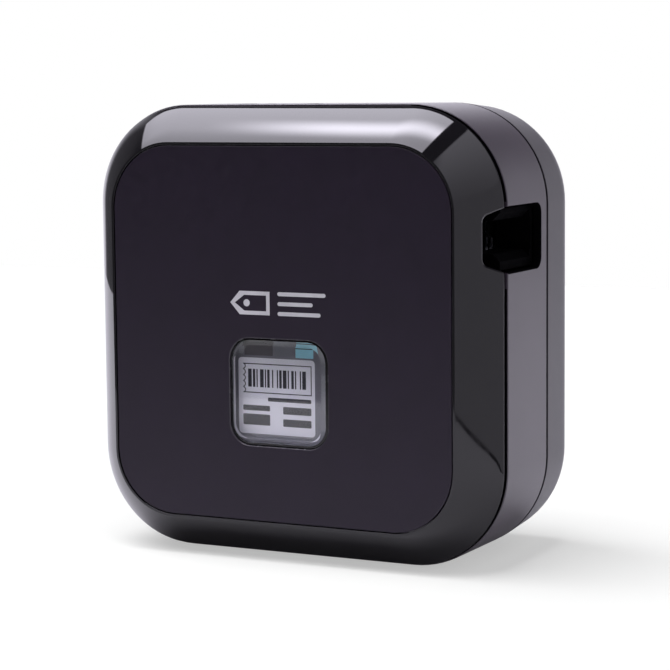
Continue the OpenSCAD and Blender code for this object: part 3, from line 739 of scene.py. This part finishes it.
def box_mesh(name, low, high, rim=0.0):
    """A box from corner to corner with rounded edges."""
    work = bmesh.new()
    low, high = Vector(low), Vector(high)
    bmesh.ops.create_cube(work, size=1, matrix=Matrix.Translation((low + high) / 2)
                          @ Matrix.Diagonal((*(high - low), 1)))
    if rim:
        bmesh.ops.bevel(work, geom=work.edges[:], offset=rim, segments=2, affect="EDGES",
                        profile=0.5)
    mesh = bpy.data.meshes.new(name)
    work.to_mesh(mesh)
    work.free()
    tidy_normals(mesh)
    return new_object(name, mesh)


def edge_round_cutter():
    """Cuts the left front edge to a quarter round about the hinge."""
    bottom, top = 12 * MM, 116 * MM
    far = 3 * MM
    steps = 12
    arc = [(HINGE_X + HINGE_ROUND * math.cos(a), HINGE_Y + HINGE_ROUND * math.sin(a))
           for a in (math.radians(180 + 90 * i / steps) for i in range(steps + 1))]
    flat = arc + [(HINGE_X, MID_FRONT - far), (MID[0][0] - far, MID_FRONT - far),
                  (MID[0][0] - far, HINGE_Y)]
    return loft("edge_cutter", [[Vector((x, y, z)) for x, y in flat] for z in (bottom, top)],
                closed=False)


def hinge_cutters():
    """The rounded edge and a slot for each of the lid's hinge arms."""
    gap = 0.25 * MM
    right, rear = HINGE_X + 4.8 * MM, HINGE_Y + 2.85 * MM
    slots = [box_mesh("slot_cutter", (MID[0][0] - MM, MID_FRONT - MM, z - gap),
                      (right, rear, z + KNUCKLE_H + gap), EDGE_R) for z in HINGE_SLOTS]
    return [edge_round_cutter()] + slots


def hinge_rib():
    """The upright rib behind the hinge edge, with the hole for the pin."""
    bottom, top = 27 * MM, 101 * MM
    rib = paint(box_mesh("hinge_rib_skin", (MID[0][0] + 0.5 * MM, MID_FRONT + 0.02 * MM, bottom),
                         (HINGE_X + 3.5 * MM, -14.5 * MM, top), EDGE_R), "case_satin")
    pin_hole = rod_cutter("pin_hole", Vector((HINGE_X, HINGE_Y, 0)), Vector((0, 0, 1)), 0.78 * MM,
                          bottom + MM, top - MM, 0)
    cut(rib, *hinge_cutters(), pin_hole)
    even_shading(rib)
    return rib


def build_back_cover():
    """The back cover, a bowl with its tongue inside the mid frame, screw holes and the port."""
    round_y = BACK_Y - COVER_ROUND
    steps = 14

    def quarter(radius, first):
        """The rear edge's arc at a radius, from its step first on."""
        return [(COVER_DRAFT + COVER_ROUND - radius * math.cos(math.pi / 2 * i / steps),
                 round_y + radius * math.sin(math.pi / 2 * i / steps))
                for i in range(first, steps + 1)]
    tongue = WALL + 0.15 * MM
    tongue_inside = tongue + 1.05 * MM
    outer = filleted([(WALL, COVER_FRONT, 0), (0, COVER_FRONT, 0.2 * MM),
                      (COVER_DRAFT, round_y, 0)])
    path = quarter(COVER_ROUND - WALL, 0)[::-1]
    path += [(tongue_inside, COVER_FRONT + MM), (tongue_inside, BACK[0][1]),
             (tongue, BACK[0][1]), (tongue, COVER_FRONT)]
    path += [tuple(point) for point in outer] + quarter(COVER_ROUND, 1)
    shell = paint(loft("back_cover_skin", [case_ring(u, v) for u, v in path], closed=False),
                  "cover_satin")

    screw_r, screw_depth, screw_flare = 2.9 * MM, 3.5 * MM, 0.4 * MM
    screws = [rod_cutter("screw_hole", Vector((x, 0, z)), Vector((0, 1, 0)), screw_r,
                         BACK_Y - screw_depth, BACK_Y, screw_flare) for x, z in SCREW_PLACES]
    port_profile = [(0, 8 * MM), (0, 0.9 * MM), (-0.5 * MM, 0.2 * MM), (-0.5 * MM, -2 * MM)]
    port = pad("port_hole", lambda u, v, depth: Vector((BACK[0][0] + depth, middle(USB, 1) + u,
                                                        middle(USB, 2) + v)),
               3.7 * MM, 8.6 * MM, 0.8 * MM, port_profile)
    half_w, half_h, sunk = 0.22 * MM, 0.07 * MM, 0.1 * MM
    # Each groove's walls get the near-black look, painted shade in the groove.
    lines = [paint(box_mesh("cover_line", (side - half_w, COVER_FRONT - MM, COVER_LINE_Z - half_h),
                            (side + half_w, round_y + 6 * MM, COVER_LINE_Z + half_h)),
                   "exit_black") for side in (BACK[0][0] + sunk, BACK[1][0] - sunk)]
    cut(shell, *screws, port, *lines)
    cut(shell, *[foot_cutter(x, REAR_FOOT_Y, BACK[0][2] + 0.5 * MM) for x in FOOT_XS])

    skin = WALL * 0.6

    def skin_depth(point):
        """How deep the skin is at the point's depth. All of the flat back is skin."""
        if point.y < COVER_FRONT + 0.5 * MM:
            return 0.6 * MM
        if point.y < round_y:
            return COVER_DRAFT + skin
        reach = (COVER_ROUND - skin) ** 2 - (point.y - round_y) ** 2
        return COVER_DRAFT + COVER_ROUND - (math.sqrt(reach) if reach > 0 else -CASE_W)
    # The faces of the front lip, in the seam, get the near-black look as painted shade.
    blacken_inside(shell, skin_depth, lambda p: p.y < COVER_FRONT + 0.1 * MM)
    even_shading(shell)
    finish_piece(shell, "housing", "case_satin", "back_cover")


def build_buttons():
    """The caps of the power and feed buttons: slightly dished, over a flange inside the wall."""
    top = POWER[1][2]
    cap_h, flange_h, flange_r = 3.9 * MM, 1.5 * MM, 0.15 * MM
    rim = 1.2 * MM
    # What the flange adds to the depth of each box, and what the corner radius falls short by.
    for node, body, box, flange_d, short in (
            ("power_button", "power_key", POWER, 2 * BUTTON_FLANGE, 0),
            ("feed_button", "feed_key", FEED, 1.6 * MM, 0.2 * MM)):
        width = span(box, 0) - 2 * BUTTON_FLANGE
        depth = span(box, 1) - flange_d
        base = box[1][2] - cap_h
        profile = filleted([(rim, base, 0), (-BUTTON_FLANGE, base, flange_r),
                            (-BUTTON_FLANGE, base + flange_h, flange_r), (0, base + flange_h, 0),
                            (0, top, 0.35 * MM), (1.6 * MM, top, 0)], 4)
        profile += [Vector((2.6 * MM, top - 0.05 * MM)), Vector((3.4 * MM, top - 0.09 * MM))]
        x, y = middle(box, 0), middle(box, 1)
        cap = pad(node + "_cap", lambda u, v, d, x=x, y=y: Vector((x + u, y + v, d)),
                  width, depth, min(width, depth) / 2 - short, profile, 12, 3)
        even_shading(cap)
        finish_piece(cap, body, "gloss_black", node)


# ---- cassette and printed matter ----

def flat_shape(name, outline, y, thick):
    """A thin printed shape facing the front: outline in X and Z."""
    return loft(name, [[Vector((u, depth, v)) for u, v in outline] for depth in (y, y - thick)],
                closed=False)


def bar(name, x0, x1, z0, z1, y, thick, radius=None):
    """A flat bar, with round ends if no radius is given."""
    radius = min(x1 - x0, z1 - z0) / 2 * 0.98 if radius is None else radius
    flat = rounded_outline(x1 - x0, z1 - z0, radius, 5, 2)
    return flat_shape(name, [((x0 + x1) / 2 + u, (z0 + z1) / 2 + v) for u, v in flat], y, thick)


def ring_shape(name, outer, inner, y, thick):
    """A flat hoop between two outlines of equal length."""
    rings = [[Vector((u, depth, v)) for u, v in line] for line, depth in
             ((outer, y), (outer, y - thick), (inner, y - thick), (inner, y))]
    return loft(name, rings)


def build_face_mark():
    """A generic mark above the window: a tag with its hole and three lines of print."""
    y = PANEL_Y + 0.005 * MM
    left, low, high = -14.9 * MM, 69.8 * MM, 76.4 * MM
    mid = (low + high) / 2
    half = (high - low) / 2
    line = 1.1 * MM
    tag_w = 12.5 * MM
    hole_x, hole_r = left + 5.2 * MM, 1.0 * MM

    def tag(inset):
        """The tag's outline, with even points along each side."""
        nose, side = half * 0.9, half - inset
        x0 = left + inset * 1.3
        x1 = left + tag_w - inset
        corners = [(x0, mid), (x0 + nose, mid + side), (x1, mid + side), (x1, mid - side),
                   (x0 + nose, mid - side)]
        return [(u + (next_u - u) * k / 6, v + (next_v - v) * k / 6)
                for (u, v), (next_u, next_v) in zip(corners, corners[1:] + corners[:1])
                for k in range(6)]
    pieces = [ring_shape("mark_tag", tag(0), tag(line), y, MARK_THICK),
              bar("mark_hole", hole_x - hole_r, hole_x + hole_r, mid - hole_r, mid + hole_r, y,
                  MARK_THICK)]
    start = left + 15 * MM
    for k, length in enumerate((15.0, 11.0, 13.4)):
        z = high - k * (high - low - line) / 2
        pieces.append(bar("mark_line_%d" % k, start, start + length * MM, z - line, z, y,
                          MARK_THICK))
    for piece in pieces:
        finish_piece(piece, "lid", "connector_white", look="print_mark")


def print_frame(x0, z0, x1, z1, waves, depth):
    """A rectangle, anticlockwise, whose left side is a row of shallow waves."""
    count = 40
    width, height = x1 - x0, z1 - z0
    points = [(x0 + width * k / count, z0) for k in range(count)]
    points += [(x1, z0 + height * k / count) for k in range(count)]
    points += [(x1 - width * k / count, z1) for k in range(count)]
    points += [(x0 + depth * abs(math.sin(math.pi * waves * k / count)), z1 - height * k / count)
               for k in range(count)]
    return points


def drawn_in(points, distance):
    """The closed outline moved inwards, for one that runs anticlockwise."""
    moved = []
    for k, (u, v) in enumerate(points):
        before, after = Vector(points[k - 1]), Vector(points[(k + 1) % len(points)])
        along = (after - before).normalized()
        moved.append((u - along.y * distance, v + along.x * distance))
    return moved


# The cassette's label, in mm: left, right, bottom, top and the corner radius of each print.
LABEL_PATCH = (-15.0, 9.3, 35.6, 57.2, 1.1)
LABEL_STRIPE = (3.3, 8.9, 60.2, 60.45, 0.05)
LABEL_LINES = ((-5.6, 8.1, 45.0, 46.1, 0.25), (-0.8, 8.1, 41.6, 43.7, 0.25),
               (-0.8, 8.1, 38.1, 40.2, 0.25), (-13.6, -5.0, 42.2, 43.7, 0.25),
               (-13.6, -5.0, 38.1, 41.2, 0.25))
# Name, look, slot, left, right and bottom of the prints in the header, and their room at the top.
LABEL_HEADER = (("label_header_band", "print_shade", "chip_black", -13.0, -3.9, 57.9, 0.2),
                ("label_header_field", "print_grey", "chip_black", -3.8, 3.2, 57.9, 0.2),
                ("label_colour_block", "print_teal", "cell_wrap", 3.3, 8.9, 57.7, 0.1))
# The bar pattern: bars and gaps by turns, in units of its whole width.
BARCODE = (3, 1, 2, 1, 1, 2, 3, 1, 1, 1, 2, 2, 1, 3, 1, 1, 2, 1, 3, 1, 1, 2, 2, 1, 1, 3, 1, 1, 3)
BARCODE_LEFT, BARCODE_W = -11.9 * MM, 18.4 * MM
BARCODE_LOW, BARCODE_HIGH = 48.9 * MM, 54 * MM


def build_cassette_print():
    """The cassette's label as seen through the window, upside down: a white patch with a framed
    bar pattern and lines, under a dark band with a colour block. All of it is generic."""
    low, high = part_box("cassette_label")
    y = low[1] + 0.005 * MM
    thick = 0.02 * MM

    def printed(name, row, depth):
        x0, x1, z0, z1, radius = (number * MM for number in row)
        return bar(name, x0, x1, z0, z1, depth, thick, radius)
    finish_piece(printed("label_white_patch", LABEL_PATCH, y), "housing", "label_paper")
    for name, look, slot, x0, x1, z0, room in LABEL_HEADER:
        field = bar(name, x0 * MM, x1 * MM, z0 * MM, high[2] - room * MM, y, thick, 0.2 * MM)
        finish_piece(field, "housing", slot, look=look)

    y -= thick
    around = print_frame(-13.6 * MM, 47.2 * MM, 8.3 * MM, 55.6 * MM, 5, 0.7 * MM)
    dark = [printed("label_block_stripe", LABEL_STRIPE, y),
            ring_shape("label_frame", around, drawn_in(around, 0.28 * MM), y, thick)]
    x = BARCODE_LEFT
    unit = BARCODE_W / sum(BARCODE)
    for k, width in enumerate(BARCODE):
        if k % 2 == 0:
            dark.append(bar("label_bar_%02d" % (k // 2), x, x + width * unit, BARCODE_LOW,
                            BARCODE_HIGH, y, thick, 0.02 * MM))
        x += width * unit
    dark += [printed("label_line_%d" % k, row, y) for k, row in enumerate(LABEL_LINES)]
    for piece in dark:
        finish_piece(piece, "housing", "chip_black", look="print_dark")


# The rings on the cassette's front, in mm: x, z, diameter, width of the band and rise.
RINGS = {"spool_ring_large": (-7, 79, 15, 1.0, 0.3), "spool_ring_small": (-7, 79, 7.4, 0.8, 0.3),
         "pin_ring_0": (-40.5, 34.2, 4.4, 0.6, 0.25), "pin_ring_1": (38.4, 34.2, 4.4, 0.6, 0.25),
         "pin_ring_2": (38.4, 76.5, 4.4, 0.6, 0.25)}
RIB_COUNT, RIB_LEFT, RIB_PITCH = 7, -38.5 * MM, 2.6 * MM
RIB_Z, RIB_W, RIB_H, RIB_RISE = 75.5 * MM, 1.3 * MM, 20 * MM, 0.45 * MM


def build_cassette_relief():
    """Raised detail on the cassette's front: a rim round the label, ribs and rings."""
    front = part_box("cassette_front_shell")[0][1] + 0.02 * MM
    root = -0.02 * MM
    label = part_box("cassette_label")
    beyond = 2.4 * MM

    def facing_at(x, z):
        return lambda u, v, rise: Vector((x + u, front - rise, z + v))

    def hoop(name, x, z, outer_w, outer_h, radius, band, rise):
        """A raised band with rounded edges, round a middle at x and z."""
        place, round_r = facing_at(x, z), 0.12 * MM
        profile = filleted([(0, root, 0), (0, rise, round_r), (band, rise, round_r),
                            (band, root, 0)], 3)
        return loft(name, [[place(u, v, depth) for u, v in rounded_outline(
            outer_w - 2 * inset, outer_h - 2 * inset, max(radius - inset, 0.1 * MM), 14, 4)]
            for inset, depth in profile])
    pieces = [hoop("cassette_label_rim", middle(label, 0), middle(label, 2),
                   span(label, 0) + beyond, span(label, 2) + beyond, 2.2 * MM, 0.9 * MM,
                   0.35 * MM)]
    rib_profile = filleted([(0, root, 0), (0, RIB_RISE, 0.2 * MM), (0.6 * MM, RIB_RISE, 0)], 3)
    for k in range(RIB_COUNT):
        pieces.append(pad("cassette_rib_%d" % k, facing_at(RIB_LEFT + k * RIB_PITCH, RIB_Z),
                          RIB_W, RIB_H, RIB_W / 2, rib_profile, 6, 3))
    for name, row in RINGS.items():
        x, z, diameter, band, rise = (number * MM for number in row)
        pieces.append(hoop("cassette_" + name, x, z, diameter, diameter, diameter / 2, band, rise))
    for piece in pieces:
        even_shading(piece)
        finish_piece(piece, "housing", "cassette_grey")


# ---- stage ----

STUDIO_TINT = (1.0, 0.97, 1.09)
WHITE = (1, 1, 1)
FLOOR_EDGES = (-0.77, 0.9, -0.32, 0.8)
FLOOR_TONE = 0.7
FLOOR_GLOW = 0.45
CARD_LEVEL = 0.66
CARD_LINE = [(0.16, -0.01), (0.205, -0.038), (0.235, -0.058), (0.258, -0.082), (0.272, -0.105),
             (0.284, -0.13), (0.297, -0.157), (0.315, -0.2), (0.34, -0.27)]
CARD_FOOT = 0.0022
CARD_TOP = 0.16


def build_floor(name, tint, glow):
    """A pale table top. Its tone is divided by the studio's tint, to look neutral, and lowered
    by what it glows, so that the glow only fills its shadow."""
    left, right, front, rear = FLOOR_EDGES
    floor = mesh_object(name, [(left, front, 0), (right, front, 0), (right, rear, 0),
                               (left, rear, 0)], [(0, 1, 2, 3)])
    made, tree, principled = shader(name)
    set_inputs(principled, {"Roughness": 0.9, "Specular IOR Level": 0.1,
                            "Emission Color": (*WHITE, 1), "Emission Strength": glow})
    tone = FLOOR_TONE - 0.65 * glow
    tones = [tuple(tone * share / part for part in tint) for share in (1, 1.02)]
    tree.links.new(blend_colours(tree, noise(tree, 3), *tones), principled.inputs["Base Color"])
    floor.data.materials.append(made)
    return floor


def build_card(name, low, high, level):
    """A grey card standing along a bent line beside the object, which only glossy rays see."""
    count = len(CARD_LINE)
    card = mesh_object(name, [(x, y, z) for z in (low, high) for x, y in CARD_LINE],
                       [(i, i + 1, count + i + 1, count + i) for i in range(count - 1)])
    made, tree, _ = shader(name)
    tree.nodes.clear()
    glow = tree.nodes.new("ShaderNodeEmission")
    set_inputs(glow, {"Color": (*STUDIO_TINT, 1), "Strength": level})
    out = tree.nodes.new("ShaderNodeOutputMaterial")
    tree.links.new(glow.outputs["Emission"], out.inputs["Surface"])
    card.data.materials.append(made)
    hide_from(card, "camera", "diffuse", "transmission", "shadow")


class Term:
    """A socket's value. Arithmetic on it adds the nodes that it needs to the tree."""

    def __init__(self, tree, socket):
        self.tree = tree
        self.socket = socket

    def node(self, operation, *values):
        """A Math node on numbers and other terms."""
        node = self.tree.nodes.new("ShaderNodeMath")
        node.operation = operation
        for k, value in enumerate(values):
            if isinstance(value, Term):
                self.tree.links.new(value.socket, node.inputs[k])
            else:
                node.inputs[k].default_value = value
        return Term(self.tree, node.outputs[0])

    def __add__(self, other):
        return self.node("ADD", self, other)

    def __sub__(self, other):
        return self.node("SUBTRACT", self, other)

    def __rsub__(self, other):
        return self.node("SUBTRACT", other, self)

    def __mul__(self, other):
        return self.node("MULTIPLY", self, other)

    def __truediv__(self, other):
        return self.node("DIVIDE", self, other)

    def __abs__(self):
        return self.node("ABSOLUTE", self)

    def at_least(self, least):
        return self.node("MAXIMUM", self, least)

    def at_most(self, most):
        return self.node("MINIMUM", self, most)

    def ramp(self, start, end, low=0.0, high=1.0, smooth=True):
        result = map_range(self.tree, self.socket, start, end, low, high, smooth)
        return Term(self.tree, result)

    def mixed(self, other, share):
        """This value, and the other where the share is 1."""
        return self * (1.0 - share) + share * other


# The studio by direction. A ramp's numbers are where it starts and ends, and then its values
# there. A slant is how far an edge leans with the other axis.
BOX_REAR, BOX_REAR_SLANT = (0.085, 0.065), 0.36
BOX_RIGHT, BOX_RIGHT_SLANT = (0.19, 0.165), 0.07
BOX_LEFT = (-1.5, -1.42)
BOX_FRONT = (-0.65, -0.5)
BOX_LOW = (0.02, 0.1)
BOX_LEVEL = (-1.35, -0.3, 3.1, 7.0)
BAND_PLACE, BAND_SLANT = 0.135, 0.27
BAND_EDGE, BAND_LEFT, BAND_LEVEL = (0.11, 0.0), (-0.59, -0.5), 9.5
BAND_FRONT_DIP = (-0.16, 0.0, 0.74, 1.0)

SWEEP_EDGE, SWEEP_LEAN_Z, SWEEP_LEAN_X = (-0.08, 0.07), 0.53, 0.8
SWEEP_FADE, SWEEP_LEFT_RISE = (0.1, 0.45, 1.05, 0.1), 0.35
SWEEP_RIGHT_DIM = (-0.1, 0.4, 1.0, 0.6)
SWEEP_GLARE_X, SWEEP_GLARE = -0.33, (0.1, 0.3, 1.35, 1.0)
FRONT_LEVELS = (-0.6, 0.0, 0.12, 0.16)
GAP_Z, GAP_Y, GAP_LEVEL = (0.3, 0.5), (0.3, 0.1), 0.04
CARD_EDGE, CARD_LEAN_Y, CARD_LEAN_Z = (0.0, 0.03), 0.09, 0.39
CARD_REAR, CARD_FRONT, CARD_RISE = (0.35, 0.1), (-0.2, 0.1), 1.25


def softbox(x, y, z):
    """The softbox overhead to the left, on the plane one unit up, with u to the right and v to
    the rear: its level, with a hot band, and where it is."""
    above = z.at_least(BOX_LOW[0])
    u, v = x / above, y / above
    inside = (v + u * BOX_REAR_SLANT).ramp(*BOX_REAR) * u.ramp(*BOX_LEFT)
    inside = inside * (u - v * BOX_RIGHT_SLANT).ramp(*BOX_RIGHT)
    inside = inside * v.ramp(*BOX_FRONT) * z.ramp(*BOX_LOW)
    off_band = v + BAND_PLACE + u * BAND_SLANT
    band = abs(off_band).ramp(*BAND_EDGE) * u.ramp(*BAND_LEFT)
    level = u.ramp(*BOX_LEVEL, smooth=False) * off_band.ramp(*BAND_FRONT_DIP)
    return level + band * BAND_LEVEL, inside


def surroundings(x, y, z):
    """The level elsewhere: a white sweep behind, dim surroundings in front, a dark gap above them
    and a grey reflector to the right."""
    behind = (y + (z * SWEEP_LEAN_Z + x * SWEEP_LEAN_X)).ramp(*SWEEP_EDGE)
    height = z + x.at_most(0.0) * SWEEP_LEFT_RISE
    sweep = height.ramp(*SWEEP_FADE) * x.ramp(*SWEEP_RIGHT_DIM)
    sweep = sweep * abs(x - SWEEP_GLARE_X).ramp(*SWEEP_GLARE)
    level = x.ramp(*FRONT_LEVELS).mixed(sweep, behind)
    level = level.mixed(GAP_LEVEL, z.ramp(*GAP_Z) * y.ramp(*GAP_Y))
    beside = x + y * CARD_LEAN_Y - z * CARD_LEAN_Z
    beside = beside.ramp(*CARD_EDGE) * y.ramp(*CARD_REAR)
    beside = beside * (x + y).ramp(*CARD_FRONT)
    return level.mixed(z * z * CARD_RISE + CARD_LEVEL, beside)


def build_world():
    """The studio as light from each direction. The camera sees plain white."""
    world = bpy.data.worlds.new("studio")
    bpy.context.scene.world = world
    world.use_nodes = True
    tree = world.node_tree
    place = tree.nodes.new("ShaderNodeTexCoord")
    split = tree.nodes.new("ShaderNodeSeparateXYZ")
    tree.links.new(place.outputs["Generated"], split.inputs["Vector"])
    x, y, z = (Term(tree, socket) for socket in split.outputs)
    path = tree.nodes.new("ShaderNodeLightPath")
    to_camera = Term(tree, path.outputs["Is Camera Ray"])
    strength = surroundings(x, y, z).mixed(*softbox(x, y, z)).mixed(1.0, to_camera)
    tint = tree.nodes.new("ShaderNodeMix")
    tint.data_type = "RGBA"
    set_inputs(tint, {"A": (*STUDIO_TINT, 1), "B": (*WHITE, 1)})
    tree.links.new(to_camera.socket, tint.inputs["Factor"])
    back = tree.nodes["Background"]
    tree.links.new(tint.outputs["Result"], back.inputs["Color"])
    tree.links.new(strength.socket, back.inputs["Strength"])


def build_camera():
    """The photograph's view."""
    azimuth = math.radians(27.113)
    elevation = math.radians(6.379)
    roll = math.radians(-0.54)
    distance = 0.6567
    aim_right, aim_down = 0.71 * MM, 3.0 * MM
    back = Vector((math.sin(azimuth) * math.cos(elevation),
                   -math.cos(azimuth) * math.cos(elevation), math.sin(elevation)))
    level_right = Vector((math.cos(azimuth), math.sin(azimuth), 0))
    level_up = back.cross(level_right)
    right = level_right * math.cos(roll) + level_up * math.sin(roll)
    up = level_up * math.cos(roll) - level_right * math.sin(roll)
    middle_z = (cad_bounds[0][2] + cad_bounds[1][2]) / 2
    target = Vector((0, 0, middle_z)) + right * aim_right - up * aim_down
    data = bpy.data.cameras.new("camera")
    data.lens = 121.45
    data.sensor_width = 36
    data.clip_start = 0.01
    camera = new_object("camera", data)
    camera.matrix_world = Matrix(((right.x, up.x, back.x, 0), (right.y, up.y, back.y, 0),
                                  (right.z, up.z, back.z, 0), (0, 0, 0, 1)))
    camera.location = target + back * distance
    bpy.context.scene.camera = camera


def build_stage():
    """A floor that is seen, one that gloss mirrors, the card with its dark foot, the world."""
    seen = build_floor("studio_floor", STUDIO_TINT, FLOOR_GLOW)
    hide_from(seen, "glossy")
    mirrored = build_floor("studio_floor_mirrored", WHITE, 0)
    mirrored.location.z = 0.1 * MM
    hide_from(mirrored, "camera", "diffuse", "transmission", "shadow")
    build_card("card_foot", 0, CARD_FOOT, 0)
    build_card("right_card", CARD_FOOT, CARD_TOP, CARD_LEVEL)
    build_world()
    bpy.context.scene.view_settings.view_transform = "Standard"


build_camera()
build_stage()
dress_cad_nodes()
build_lid_shell()
build_face_panel()
build_window()
build_face_mark()
build_mid_frame()
build_back_cover()
build_buttons()
build_cassette_print()
build_cassette_relief()
